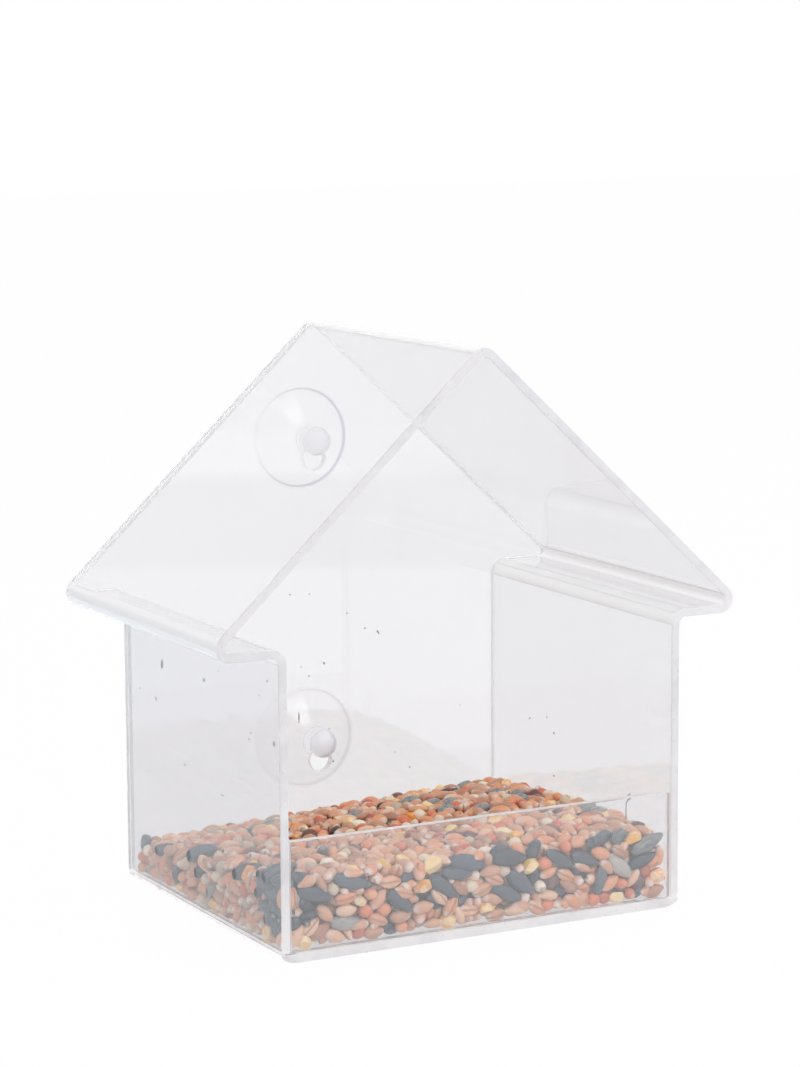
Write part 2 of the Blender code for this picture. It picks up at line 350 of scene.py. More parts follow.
def bendCorner(before, corner, after, radius):
    # the arc that rounds one corner, with a support point on the flat at each end
    arrive = (corner - before).normalized()
    leave = (after - corner).normalized()
    turn = atan2(arrive.cross(leave), arrive.dot(leave))
    side = 1 if turn > 0 else -1
    start = corner - arrive * radius * tan(abs(turn) / 2)
    centre = start + Vector((-arrive.y, arrive.x)) * radius * side
    spoke = start - centre
    arc = [start - arrive * house["support"]]
    for step in range(house["bendFacets"] + 1):
        angle = turn * step / house["bendFacets"]
        arc.append(centre + Vector((spoke.x * cos(angle) - spoke.y * sin(angle),
                                    spoke.x * sin(angle) + spoke.y * cos(angle))))
    return arc + [arc[-1] + leave * house["support"]]


def housePath(inwards):
    # the house's outline this far in from its outside, from the foot of one wall over the ridge to the other
    leftHalf = [
        Vector((-house["wallSpan"] / 2, footZ)),
        Vector((-house["wallSpan"] / 2, house["soffitHeight"])),
        Vector((-house["eaveSpan"] / 2, house["soffitHeight"])),
    ]
    rightHalf = [Vector((-corner.x, corner.y)) for corner in reversed(leftHalf)]
    corners = insetPath(leftHalf + [Vector((0, house["ridgeHeight"]))] + rightHalf, inwards)
    eave = house["eaveBend"] + sheet["thickness"] - inwards
    ridge = house["ridgeBend"] + sheet["thickness"] - inwards
    soffit = house["soffitBend"] + inwards
    points = [corners[0]]
    for index, radius in enumerate((soffit, eave, ridge, eave, soffit)):
        points += bendCorner(*corners[index:index + 3], radius)
    return points + [corners[-1]]


def addChain(bm, points, y, closed=False):
    # a chain of edges through points in X and Z
    verts = [bm.verts.new((point[0], y, point[1])) for point in points]
    ends = verts[1:] + verts[:1] if closed else verts[1:]
    return [bm.edges.new(pair) for pair in zip(verts, ends)]


def extrudeBack(bm, faces, distance):
    # gives flat faces their thickness, towards the window
    made = bmesh.ops.extrude_face_region(bm, geom=faces)["geom"]
    far = [item for item in made if isinstance(item, bmesh.types.BMVert)]
    bmesh.ops.translate(bm, verts=far, vec=(0, distance, 0))


def makeShell():
    bm = bmesh.new()
    outside = addChain(bm, housePath(0), frontY)
    inside = addChain(bm, housePath(sheet["thickness"]), frontY)
    bmesh.ops.bridge_loops(bm, edges=outside + inside)
    extrudeBack(bm, list(bm.faces), backY - frontY)
    bmesh.ops.recalc_face_normals(bm, faces=bm.faces)
    polishEdges(bm, sheet["polish"])
    return finishMesh("shell", bm)


def makePlate(name, outlines, y, thickness):
    # a flat plate: the first outline is its edge, the others are holes
    bm = bmesh.new()
    edges = []
    for outline in outlines:
        edges += addChain(bm, outline, y, closed=True)
    bmesh.ops.triangle_fill(bm, use_beauty=True, use_dissolve=False, edges=edges)
    extrudeBack(bm, list(bm.faces), thickness)
    bmesh.ops.recalc_face_normals(bm, faces=bm.faces)
    polishEdges(bm, sheet["polish"])
    return finishMesh(name, bm)


def floorOutline():
    right = [(house["wallSpan"] / 2 - floorPlate["roundWidth"] * (1 - sin(angle)),
              floorPlate["roundHeight"] * (1 - cos(angle)))
             for angle in quarterTurn(floorPlate["roundFacets"])]
    right.append((house["wallSpan"] / 2, sheet["thickness"]))
    return right + [(-x, z) for x, z in reversed(right)]


def keyholeOutline(seat):
    # a slot with a round top that widens into a round hole below
    hole = seat - keyholes["drop"]
    mouth = atan2(sqrt(keyholes["radius"] ** 2 - keyholes["slot"] ** 2), keyholes["slot"])
    outline = []
    for step in range(keyholes["facets"] + 1):
        angle = pi - mouth + (pi + 2 * mouth) * step / keyholes["facets"]
        outline.append((keyholes["radius"] * cos(angle), hole + keyholes["radius"] * sin(angle)))
    for step in range(keyholes["facets"] // 2 + 1):
        angle = pi * step / (keyholes["facets"] // 2)
        outline.append((keyholes["slot"] * cos(angle), seat + keyholes["slot"] * sin(angle)))
    return outline


def makeFinish(name):
    # clear sheet with faint handling marks, satin sawn edges, pale bends whose milky white is a painted
    # highlight, or the white welded foot, which glows with a painted highlight though it is no lamp
    finish = acrylic[name]
    welded = name == "weldedFootPaintedGlow"
    material, tree, shader = newMaterial(name, volume=acrylic["body"], IOR=acrylic["bending"],
                                         Transmission_Weight=finish["clear"],
                                         Emission_Strength=acrylic["light"] if welded else 0.0)
    place = addNode(tree, "ShaderNodeMapping", None, dict(Vector=objectPlace(tree), Scale=finish["stretch"]))
    patterns = dict(noise=noiseOver(tree, place, *finish["noise"]))
    patterns["patches"] = patches = patterns["noise"].above(*finish["patches"])
    least, added, pattern = finish["rough"]
    if pattern == "fine":
        patterns["fine"] = noiseOver(tree, place, *acrylic["fineGrain"])
    feed(tree, shader, Base_Color=blendColour(patches, *finish["tints"]))
    feed(tree, shader, Roughness=least + patterns[pattern] * added)
    # the welded foot's painted glow, white with darker patches
    if welded:
        feed(tree, shader, Emission_Color=blendColour(patches, (1.0, 1.0, 1.0), (0.2, 0.2, 0.2)))
    return material


sheetFacing = dict(edge=0.3, flat=0.9999, plate=0.95, level=0.999, panel=0.9)      # shares of a face's normal


def sheetZone(node, polygon):
    # 0 on a flat face, 1 on a sawn edge, 2 on a bend, 3 on the welded foot
    normal, middle = polygon.normal, polygon.center
    facesEnd = abs(normal.y) > sheetFacing["edge"]
    if node == "house_shell":
        if middle.z < footZ + sheet["polish"] and not facesEnd:
            return 3
        if facesEnd:
            return 1 if normal.y < 0 else 2
        slope = (house["ridgeHeight"] - house["soffitHeight"]) / (house["eaveSpan"] / 2)
        roof = (abs(normal.x) * slope + abs(normal.z)) / sqrt(1 + slope ** 2)
        return 0 if max(abs(normal.x), abs(normal.z), roof) > sheetFacing["flat"] else 2
    if node == "floor_plate":
        if abs(normal.x) > sheetFacing["edge"] and not facesEnd and middle.z > sheet["bond"]:
            return 3
        rounded = middle.z < floorPlate["roundHeight"] * 0.9 and abs(normal.z) < sheetFacing["level"]
        return int(abs(normal.z) < sheetFacing["plate"] or rounded)
    bonded = 2 if node == "back_panel" else 1
    return bonded * int(abs(normal.y) < sheetFacing["panel"])


def paintZones(piece, materials, zoneOf):
    # one slot for each material, and each face in its zone's
    for material in materials:
        piece.data.materials.append(material)
    for polygon in piece.data.polygons:
        polygon.material_index = zoneOf(polygon)
    piece.visible_shadow = False            # lamps reach the seed through the clear plastic
    piece.visible_diffuse = False


def makeHouse():
    materials = [makeFinish(name) for name in ("clearAcrylic", "cutEdge", "bentSheet", "weldedFootPaintedGlow")]
    thickness = sheet["thickness"]
    side = house["wallSpan"] / 2 - thickness - sheet["bond"]
    lipOutline = [(-side, footZ), (side, footZ), (side, lip["height"]), (-side, lip["height"])]
    panelEdge = [tuple(point) for point in housePath(thickness + sheet["bond"])]
    holes = [keyholeOutline(seat) for seat in keyholes["seats"]]
    pieces = {
        "house_shell": makeShell(),
        "floor_plate": makePlate("floor", [floorOutline()], frontY, backY - frontY),
        "back_panel": makePlate("panel", [panelEdge] + holes, backY - thickness, thickness),
        "front_lip": makePlate("lip", [lipOutline], frontY, thickness),
    }
    for node, piece in pieces.items():
        paintZones(piece, materials, lambda polygon: sheetZone(node, polygon))
        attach(piece, "house")
        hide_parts(node)
    print("acrylic house made")


# Suction cups, turned

cup = dict(
    neck=0.0025, head=0.0041, headHeight=0.0044, headBand=0.0011, grip=0.0003, corner=0.0003,
    shoulder=0.0045, shoulderThickness=0.0012, stem=0.0040,
    radius=0.0150, standoff=0.0085, bowlDepth=0.0043, rim=0.0008, rimLand=0.0012, flareSag=0.45,
    domeFacets=14, bandFacets=6, flareFacets=18, bowlFacets=12, turns=64, rimZone=0.0009,
    discBody=((0.90, 0.90, 0.93), 6.0), discClear=0.97, discBending=1.07, discTint=(0.985, 0.985, 0.99),
    # the fan is a painted highlight, a glow where the flare would mirror the key lamp
    paintedGlint=0.085, fanFrom=(radians(6), 0.12), fanTo=(radians(38), 0.15),           # edge and softness of each
    fanInner=(0.0052, 0.0004), fanOuter=(0.0115, 0.005),
    moulding=(700.0, 3.0), discRough=(0.005, 0.02), cloudyRough=(0.08, 0.08),   # least, what noise adds
    ripples=dict(Strength=0.08, Distance=0.0002),
    cupHead=dict(clear=0.66, bending=1.45, tint=(0.74, 0.73, 0.78)),
    cupRim=dict(clear=0.97, bending=1.025, tint=(0.99, 0.99, 0.99)),
)


def cupProfile():
    # half section from the head's top down the outside to the rim, then up the bowl; height towards the room
    headBase = sheet["thickness"] / 2 + cup["grip"]
    bandTop = headBase + cup["headBand"]
    profile = [(cup["head"] * sin(angle), bandTop + (cup["headHeight"] - cup["headBand"]) * cos(angle))
               for angle in quarterTurn(cup["domeFacets"])]
    profile += [(cup["head"] - cup["headBand"] * (1 - cos(angle)), bandTop - cup["headBand"] * sin(angle))
                for angle in quarterTurn(cup["bandFacets"])[1:]]
    stemFoot = -headBase - cup["shoulderThickness"]
    neck, shoulder, edge = cup["neck"], cup["shoulder"], cup["corner"]
    profile += [(neck + edge, headBase), (neck, headBase - edge), (neck, -headBase + edge)]
    profile += [(neck + edge, -headBase), (shoulder - edge, -headBase), (shoulder, -headBase - edge)]
    profile += [(shoulder, stemFoot + edge), (shoulder - edge, stemFoot)]
    rimBack = -(sheet["thickness"] / 2 + cup["standoff"]) + cup["rim"]
    for step in range(cup["flareFacets"] + 1):
        share = step / cup["flareFacets"]
        sag = (1 - share) * (1 - share * cup["flareSag"])
        profile.append((cup["stem"] + (cup["radius"] - cup["stem"]) * share,
                        rimBack + (stemFoot - rimBack) * sag))
    rimFront = rimBack - cup["rim"]
    profile.append((cup["radius"], rimFront))
    for step in range(cup["bowlFacets"] + 1):
        share = 1 - step / cup["bowlFacets"]
        profile.append(((cup["radius"] - cup["rimLand"]) * share,
                        rimFront + cup["bowlDepth"] * (1 - share ** 2)))
    return profile


def makeCup(name, seat, body, node, materials):
    bm = bmesh.new()
    verts = [bm.verts.new((radius, 0, height)) for radius, height in cupProfile()]
    edges = [bm.edges.new(pair) for pair in zip(verts, verts[1:])]
    bmesh.ops.spin(bm, geom=verts + edges, cent=(0, 0, 0), axis=(0, 0, 1), angle=2 * pi,
                   steps=cup["turns"], use_merge=True, use_duplicate=False)
    bmesh.ops.remove_doubles(bm, verts=bm.verts, dist=0.00001)
    bmesh.ops.recalc_face_normals(bm, faces=bm.faces)
    panelMiddle = backY - sheet["thickness"] / 2
    upright = Matrix.Translation((0, panelMiddle, seat)) @ Matrix.Rotation(pi / 2, 4, "X")
    bmesh.ops.transform(bm, matrix=upright, verts=bm.verts)
    piece = finishMesh(name, bm, radians(40))
    paintZones(piece, materials, lambda polygon: cupZone(polygon, seat))
    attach(piece, body)
    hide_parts(node)


def makeDisc():
    # the disc is thin and clear but for a painted highlight: a pale fan that glows where the flare would
    # catch the light
    material, tree, shader = newMaterial("softPlastic", volume=cup["discBody"], IOR=cup["discBending"],
                                         Transmission_Weight=cup["discClear"], Base_Color=cup["discTint"],
                                         Emission_Strength=cup["paintedGlint"])
    place = objectPlace(tree)
    x, z = splitAxes(tree, place, "XZ")
    least, added = cup["discRough"]
    feed(tree, shader, Roughness=least + noiseOver(tree, place, *cup["moulding"]) * added)
    paintedGlint = 0
    for seat in keyholes["seats"]:
        up = z - seat
        radius = (x * x + up * up) ** 0.5
        aside = (x * -1).maths("ARCTAN2", up)       # angle from upright, towards the left
        side = aside.above(*cup["fanFrom"]) * (1 - aside.above(*cup["fanTo"]))
        reach = radius.above(*cup["fanInner"]) * (1 - radius.above(*cup["fanOuter"]))
        paintedGlint = side * reach + paintedGlint
    # the painted highlight glows white in the fan
    feed(tree, shader, Emission_Color=blendColour(paintedGlint, (0.0, 0.0, 0.0), (1.0, 1.0, 1.0)))
    return material


def makeCloudy(name):
    finish = cup[name]
    material, tree, shader = newMaterial(name, Transmission_Weight=finish["clear"], IOR=finish["bending"],
                                         Base_Color=finish["tint"])
    moulding = noiseOver(tree, objectPlace(tree), *cup["moulding"])
    ripples = addNode(tree, "ShaderNodeBump", None, dict(cup["ripples"], Height=moulding))
    least, added = cup["cloudyRough"]
    feed(tree, shader, Roughness=least + moulding * added, Normal=ripples)
    return material


def cupZone(polygon, seat):
    # 0 on the thin disc, 1 on the head and stem, 2 on the rim
    middle = polygon.center
    if middle.y < backY:
        return 1
    return 2 if sqrt(middle.x ** 2 + (middle.z - seat) ** 2) > cup["radius"] - cup["rimZone"] else 0


def makeCups():
    materials = makeDisc(), makeCloudy("cupHead"), makeCloudy("cupRim")
    makeCup("cupUpper", keyholes["seats"][0], "upper_cup", "upper_suction_cup", materials)
    makeCup("cupLower", keyholes["seats"][1], "lower_cup", "lower_suction_cup", materials)
    print("suction cups made")


# Seed in the tray: grains settled in numpy against each other, the panes and the top of the heap

heap = dict(
    frontLeft=0.0219, frontRight=0.0210, backRight=0.0174, backLeft=0.0119,     # tops of the grains
    crown=0.0045, crownSkew=0.86,
    crust=0.0085, sideCrust=0.0075, floorCrust=0.0040, leastDepth=0.0008,       # where grains lie
    seed=5, trials=120000, fill=0.68, tilt=0.40, roll=0.6,
    rounds=190, pairsEvery=8, pairsSpare=0.0006, push=1.4, sink=0.000012, topHold=0.85, lowShare=0.3,
    leadRoll=0.35, leadHold=0.3, leadShown=0.85, leadSpread=0.3, leadGap=0.0002, leadInwards=0.4,
    creased=0.5, topSeedTone=0.955,
    foot=dict(start=0.003, end=0.002, step=0.0048, up=0.0016, inwards=0.0018, stray=0.0004,
              kinds=["wheat", "milo", "dari"], shares=[0.75, 0.15, 0.10]),
    nearTop=0.0045, nearLip=0.012, nearLeft=0.010,      # where no sunflower seeds lie but the listed ones
    corner=dict(right=-0.048, back=-0.039, low=0.0065, high=0.0215, dark=0.6),      # where many lie again
)

grainKinds = {
    "wheat": dict(share=0.650, length=0.0064, width=0.0033, depth=0.0030, spread=0.13),
    "milo": dict(share=0.115, length=0.0041, width=0.0039, depth=0.0036, spread=0.12),
    "sunflower": dict(share=0.070, length=0.0094, width=0.0043, depth=0.0030, spread=0.12),
    "maize": dict(share=0.045, length=0.0054, width=0.0046, depth=0.0036, spread=0.18),
    "dari": dict(share=0.075, length=0.0044, width=0.0037, depth=0.0034, spread=0.12),
    "pea": dict(share=0.020, length=0.0052, width=0.0045, depth=0.0040, spread=0.10),
}

leadGrains = dict(      # grains set one by one: place in mm, angle, share of the length shown, tone
    front=dict(
        sunflower=[
            (-38.4, 18.6, -15, 1.14), (-51, 20.7, -25, 0.91), (-49.4, 16.4, -16, 1.2),
            (-50.1, 13, -39, 0.81), (-53.8, 14.1, -65, 0.65), (-54.5, 7, -89, 0.86), (-40.1, 7.6, -4),
            (-19.5, 17.6, 9, 0.76), (-24, 12.2, -39), (-25.7, 3.9, -13, 0.63), (-11.1, 14, -38, 1.2),
            (-12.4, 8.9, -36, 0.51), (-3.9, 18.8, -14, 1.2), (-7.1, 16.8, -9), (-0.5, 16.1, -58, 0.61),
            (8.2, 19.2, -6, 1.17), (16.9, 20.4, -94, 0.5), (24.6, 16.7, -30), (32.1, 15.7, -23),
            (12.1, 12, -40, 1.14), (7.9, 9.3, -24, 1.09), (17.6, 11.5, -77, 0.62), (27, 8, -1, 0.83),
            (31.7, 11.1, -41, 0.88), (37.3, 9.1, -105), (38.3, 21.8, 1, 0.7), (52.1, 17.6, 23, 1.19),
            (44.6, 20.3, -3, 0.65), (50.5, 12.8, 17), (51.2, 5.2, 29, 0.91), (47, 3.4, -21, 0.61),
            (-9.4, 13.6, -39, 0.72), (-3.2, 8.7, -6, 0.72), (37.6, 19.2, -10, 0.5), (7.2, 21.1, -5, 0.84),
            (43.4, 12.6, -42, 1.1, 1)],
        wheat=[(-39.5, 14.8, 9), (-39.8, 11.2, -1), (-32.1, 4.2, 2), (-17, 9.3, 7), (-50.7, 7.8, 45),
            (-47.7, 6.4, 30), (-43.2, 4.2, -21), (-12, 11.2, -48), (-24.1, 7.3, -3), (-26.6, 16.8, 1),
            (-23.3, 13.4, -16), (-30.7, 6.7, -21), (-45.8, 10.7, -44), (-6.1, 13.2, -40), (-3.6, 6.4, -4),
            (4.1, 13.5, -25), (12.8, 4.9, -3), (26.2, 11.8, -28), (37.6, 16.6, -18), (43.4, 16.6, -33),
            (5.3, 3.4, 9), (-8.4, 8, 58), (0.7, 11.8, 20), (40.2, 8, 29), (55.6, 13, 33), (3.4, 7.9, -16),
            (28.5, 3.3, -38), (17.3, 3.4, -31), (31.1, 4.1, -49), (54.5, 3.6, 16)],
        milo=[
            (-33.8, 10.4, -8), (-28.9, 9.8, -8), (20.4, 15.9, -7), (20.2, 5, -7), (35.2, 2.9, -4),
            (37.9, 3.8, -7)],
        maize=[(15.7, 15.2, 15), (-9.6, 3.6, 11), (2.3, 6, 14), (55, 8.3, -29), (42.2, 2.6, 1), (-52, 3.5, 4),
            (-17.3, 15.1, 4)],
        pea=[(21.8, 10.9, -7), (50, 7.1, 35)],
        dari=[(-2.7, 13.4, -7), (10.4, 3, -8), (7.1, 16, -7), (20.4, 7.3, -7)],
    ),
    left=dict(
        sunflower=[
            (39.4, 10.7, -90, 0.53), (26.5, 11.6, -6, 0.55), (-0.5, 12.6, 18, 0.86), (16.3, 5.6, -69, 0.78),
            (-7.7, 9, 23, 0.5), (-25.5, 18.3, 17), (-40.1, 20.3, -21, 0.68), (-38.7, 15.7, 16, 0.79),
            (-43.8, 10.7, 51, 0.63), (-43.7, 24.7, 23, 0.5), (-45.9, 5.1, -88, 0.67), (3.9, 19.5, 18, 1.08)],
        dari=[(-2.5, 10.5, 0), (-31.1, 3.6, 0)],
        maize=[(-41.4, 4, -70), (-7.5, 3.3, -22)],
    ),
    top=dict(
        sunflower=[
            (-23.3, 25.7, 14, 0.75), (-33.5, -24.3, -88, 0.64), (54, -16.1, -3, 0.51), (54, -22.5, -4, 0.5),
            (24.7, -8, -6, 0.5), (41.7, 0.4, 3, 0.5), (15.4, -4.5, 5, 0.5), (45.1, 40, 22, 0.5),
            (17.1, 20.5, 9, 0.61), (17.7, 9.2, 11, 0.5), (22.1, 6, 8, 0.5), (-5.7, 10.3, 7, 0.64),
            (46.1, 9.2, 5, 0.51), (41.9, 13.9, -7, 0.5)],
        milo=[(-13.4, -9.5, 0), (17.5, -28.3, 0), (0.6, -38.9, 0), (54, 40, -4), (54, 9.7, 0)],
        maize=[(20.7, -20.9, 5), (-19.8, -43.8, -31), (-36.3, -46.9, -42), (54, -25.6, -20), (32.5, 40, -6),
            (54, 29.8, 70), (51.3, 40, -12)],
        pea=[(23.6, 40, -3)],
    ),
)

clearance = 0.0003
innerLow = Vector((-house["wallSpan"] / 2 + sheet["thickness"] + clearance,
                   frontY + sheet["thickness"] + clearance, sheet["thickness"] + clearance))
innerHigh = Vector((-innerLow.x, backY - sheet["thickness"] - clearance, 0.030))


def heapHeight(x, y):
    # height of the grains' tops at places in the tray; works on numbers and on arrays
    across = (x - innerLow.x) / (innerHigh.x - innerLow.x)
    along = (y - innerLow.y) / (innerHigh.y - innerLow.y)
    front = heap["frontLeft"] * (1 - across) + heap["frontRight"] * across
    back = heap["backLeft"] * (1 - across) + heap["backRight"] * across
    crown = heap["crown"] * np.sin(pi * across * heap["crownSkew"]) * np.sin(pi * along)
    return front * (1 - along) + back * along + crown


def proxyBalls(kind):
    # the balls that stand for one grain while it settles, along X with its flat side up
    size = grainKinds[kind]
    radius = size["depth"] / 2
    reach = max(size["length"] / 2 - radius, 0)
    bulge = max(size["width"] / 2 - radius, 0)
    if kind == "sunflower":
        return radius, [(reach, 0, 0), (-reach, 0, 0), (-0.15 * reach, bulge, 0), (-0.15 * reach, -bulge, 0)]
    if kind == "maize":
        return radius, [(reach, 0, 0), (-0.5 * reach, bulge, 0), (-0.5 * reach, -bulge, 0)]
    if kind in ("milo", "dari", "pea"):
        return (size["length"] + size["width"] + size["depth"]) / 6, [(0, 0, 0)]
    return radius * 1.03, [(reach, 0, 0), (-reach, 0, 0)]


def scatterGrains(rng):
    # kinds and first places, in the crust that can be seen
    low, high = np.array(innerLow), np.array(innerHigh)
    names = list(grainKinds)
    shares = np.array([grainKinds[kind]["share"] for kind in names])
    volumes = np.array([size["length"] * size["width"] * size["depth"] * pi / 6
                        for size in grainKinds.values()])
    trial = rng.uniform(low, high, (heap["trials"], 3))
    ceiling = heapHeight(trial[:, 0], trial[:, 1])
    depth = ceiling - trial[:, 2]
    side = np.minimum(trial[:, :2] - low[:2], high[:2] - trial[:, :2]).min(1)
    shown = (depth < heap["crust"]) | (side < heap["sideCrust"]) | (trial[:, 2] - low[2] < heap["floorCrust"])
    inside = (depth > heap["leastDepth"]) & shown
    room = inside.mean() * np.prod(high - low)
    count = int(room * heap["fill"] / (shares @ volumes))
    places = trial[inside][:count]
    kinds = rng.choice(len(names), count, p=shares / shares.sum())
    kinds = [names[kind] for kind in kinds]
    foot = heap["foot"]
    for axis, other in ((0, 1), (1, 0)):        # a row along the foot of the left wall and of the lip
        for step in np.arange(low[axis] + foot["start"], high[axis] - foot["end"], foot["step"]):
            spot = np.array([0.0, 0.0, low[2] + foot["up"]])
            spot[axis], spot[other] = step + rng.normal(0, foot["stray"]), low[other] + foot["inwards"]
            places = np.append(places, [spot], 0)
            kinds.append(rng.choice(foot["kinds"], p=foot["shares"]))
    return kinds, places


def nearPairs(balls, owners, reach):
    # balls of different grains that are close enough to meet soon
    tree = KDTree(len(balls))
    for index, ball in enumerate(balls):
        tree.insert(ball, index)
    tree.balance()
    first, second = [], []
    for index, ball in enumerate(balls):
        for _, other, _ in tree.find_range(ball, reach):
            if other > index and owners[other] != owners[index]:
                first.append(index)
                second.append(other)
    return np.array(first), np.array(second)


def layDown(rng, count):
    # grains lie on their sides, any way round and a little tilted
    around = rng.uniform(-pi, pi, count)
    tilt, roll = rng.normal(0, heap["tilt"], count), rng.normal(0, heap["roll"], count)
    along = np.stack([np.cos(around) * np.cos(tilt), np.sin(around) * np.cos(tilt), np.sin(tilt)], 1)
    level = np.stack([-np.sin(around), np.cos(around), np.zeros(count)], 1)
    up = np.cross(along, level)
    across = level * np.cos(roll)[:, None] + up * np.sin(roll)[:, None]
    return np.stack([along, across, np.cross(along, across)], 2)


def poseLeads(rng):
    # kinds, middles, turns, sizes and tones of the listed grains; each shows its flat side
    names, middles, turns, sizes, tones = [], [], [], [], []
    level = Vector((cos(photoView["turn"]), sin(photoView["turn"]), 0))
    facing = Vector((level.y, -level.x, 0))
    for pane, spotsByKind in leadGrains.items():
        sideways, outwards = {
            "front": (Vector((1, 0, 0)), Vector((0, -1, 0))),
            "left": (level, facing),
            "top": (level, (facing + Vector((0, 0, 0.6))).normalized()),
        }[pane]
        for kind, spots in spotsByKind.items():
            size = grainKinds[kind]
            depth = size["depth"] / 2
            for first, second, angle, *more in spots:
                first, second, angle = first / 1000, second / 1000, radians(angle)
                shown = more[0] if more else 1          # a grain that looks short points away from the camera
                away = -facing if pane == "top" else -outwards
                if pane != "top":
                    shown = max(shown, heap["leadShown"])
                inwards = sqrt(1 - min(shown, 1) ** 2)
                middle = {
                    "front": (first, innerLow.y + depth, second),
                    "left": (innerLow.x + depth + heap["leadGap"], first, second),
                    "top": (first, second, heapHeight(first, second) - depth),
                }[pane]
                along = sideways * cos(angle) + outwards.cross(sideways) * sin(angle)
                along = (along * min(shown, 1) + away * inwards).normalized()
                if pane != "top":
                    middle = Vector(middle) + away * inwards * size["length"] * heap["leadInwards"]
                normal = (outwards - along * outwards.dot(along)).normalized()
                normal = Matrix.Rotation(rng.normal(0, heap["leadRoll"]), 3, along) @ normal
                if kind == "wheat" and rng.random() < heap["creased"]:
                    normal = -normal        # shows its crease
                across = normal.cross(along)
                names.append(kind)
                middles.append(tuple(middle))
                turns.append([tuple(row) for row in zip(along, across, normal)])
                sizes.append(max(shown, 1))
                tone = more[1] if len(more) > 1 else rng.random()
                if pane == "top" and kind == "sunflower":
                    tone = heap["topSeedTone"]         # sunflower seeds on the heap's top get a paler tone
                tones.append(tone)
    return names, np.array(middles), np.array(turns), np.array(sizes), np.array(tones)


def settleGrains():
    # pushes overlapping grains apart, keeps each one rigid, and holds them in the tray under the heap's top
    rng = np.random.default_rng(heap["seed"])
    kinds, homes, leadTurns, leadSizes, leadTones = poseLeads(rng)
    lead = len(kinds)
    others, middles = scatterGrains(rng)
    corner = heap["corner"]
    for index, place in enumerate(middles):
        nearTop = heapHeight(place[0], place[1]) - place[2] < heap["nearTop"]
        nearPane = place[1] < innerLow.y + heap["nearLip"] or place[0] < innerLow.x + heap["nearLeft"]
        if others[index] == "sunflower" and (nearTop or nearPane):
            others[index] = "wheat"
        inCorner = (place[0] < corner["right"] and place[1] < corner["back"]
                    and corner["low"] < place[2] < corner["high"])
        if inCorner and rng.random() < corner["dark"]:
            others[index] = "sunflower"
    kinds += others
    middles = np.concatenate([homes, middles])
    count = len(kinds)
    sizes = 1 + rng.uniform(-1, 1, count) * np.array([grainKinds[kind]["spread"] for kind in kinds])
    sizes[:lead] = heap["leadSpread"] * (sizes[:lead] - 1) + leadSizes
    forms = np.zeros((count, 4, 3))
    real = np.zeros((count, 4), bool)
    radii = np.zeros((count, 4))
    for index, kind in enumerate(kinds):
        radius, balls = proxyBalls(kind)
        forms[index, :len(balls)] = np.array(balls) * sizes[index]
        real[index, :len(balls)] = True
        radii[index] = radius * sizes[index]
    shares = real / real.sum(1, keepdims=True)
    forms -= (forms * shares[..., None]).sum(1, keepdims=True)
    forms *= real[..., None]
    turns = np.concatenate([leadTurns, layDown(rng, count - lead)])
    balls = middles[:, None] + np.einsum("nij,nkj->nki", turns, forms)
    owners = np.repeat(np.arange(count), 4)[real.ravel()]
    low, high = np.array(innerLow), np.array(innerHigh)
    flatRadii = radii[real]
    reach = 2 * flatRadii.max() + heap["pairsSpare"]
    for step in range(heap["rounds"]):
        flat = balls[real]
        if step % heap["pairsEvery"] == 0:
            first, second = nearPairs(flat, owners, reach)
        apart = flat[first] - flat[second]
        distance = np.linalg.norm(apart, axis=1) + 1e-9
        overlap = np.maximum(flatRadii[first] + flatRadii[second] - distance, 0)
        push = apart * (0.5 * overlap / distance)[:, None]
        touching = overlap > 0
        contacts = np.bincount(first, touching, len(flat)) + np.bincount(second, touching, len(flat))
        move = np.stack([np.bincount(first, along, len(flat)) - np.bincount(second, along, len(flat))
                         for along in push.T], 1)
        flat = flat + heap["push"] * move / np.maximum(contacts, 1)[:, None] ** 0.5
        flat[:, 2] -= heap["sink"]
        ceiling = heapHeight(flat[:, 0], flat[:, 1])
        flat[:, 2] = np.minimum(flat[:, 2], ceiling - flatRadii * heap["topHold"])
        side = np.minimum(flat[:, :2] - low[:2], high[:2] - flat[:, :2]).min(1)
        base, roof = low[2] + heap["floorCrust"], ceiling - heap["crust"] + flatRadii
        core = (side > heap["sideCrust"]) & (flat[:, 2] > base) & (flat[:, 2] < roof)
        sunk = flat[core, 2] - base < (roof[core] - base) * heap["lowShare"]
        flat[core, 2] = np.where(sunk, base, roof[core])
        flat = np.clip(flat, low + flatRadii[:, None], high - flatRadii[:, None])
        balls[real] = flat
        middles = (balls * shares[..., None]).sum(1)
        spread = np.einsum("nki,nkj,nk->nij", balls - middles[:, None], forms, shares)
        left, _, right = np.linalg.svd(spread + turns * 1e-9)
        sign = np.sign(np.linalg.det(left @ right))
        left[:, :, 2] *= sign[:, None]
        turns = left @ right
        turns[:lead] = leadTurns
        middles[:lead] += (homes - middles[:lead]) * heap["leadHold"]
        balls = middles[:, None] + np.einsum("nij,nkj->nki", turns, forms)
    print("grains settled:", count, "deepest overlap left, mm:", round(float(overlap.max()) * 1000, 2))
    return kinds, middles, turns, sizes, np.concatenate([leadTones, rng.random(count - lead)])


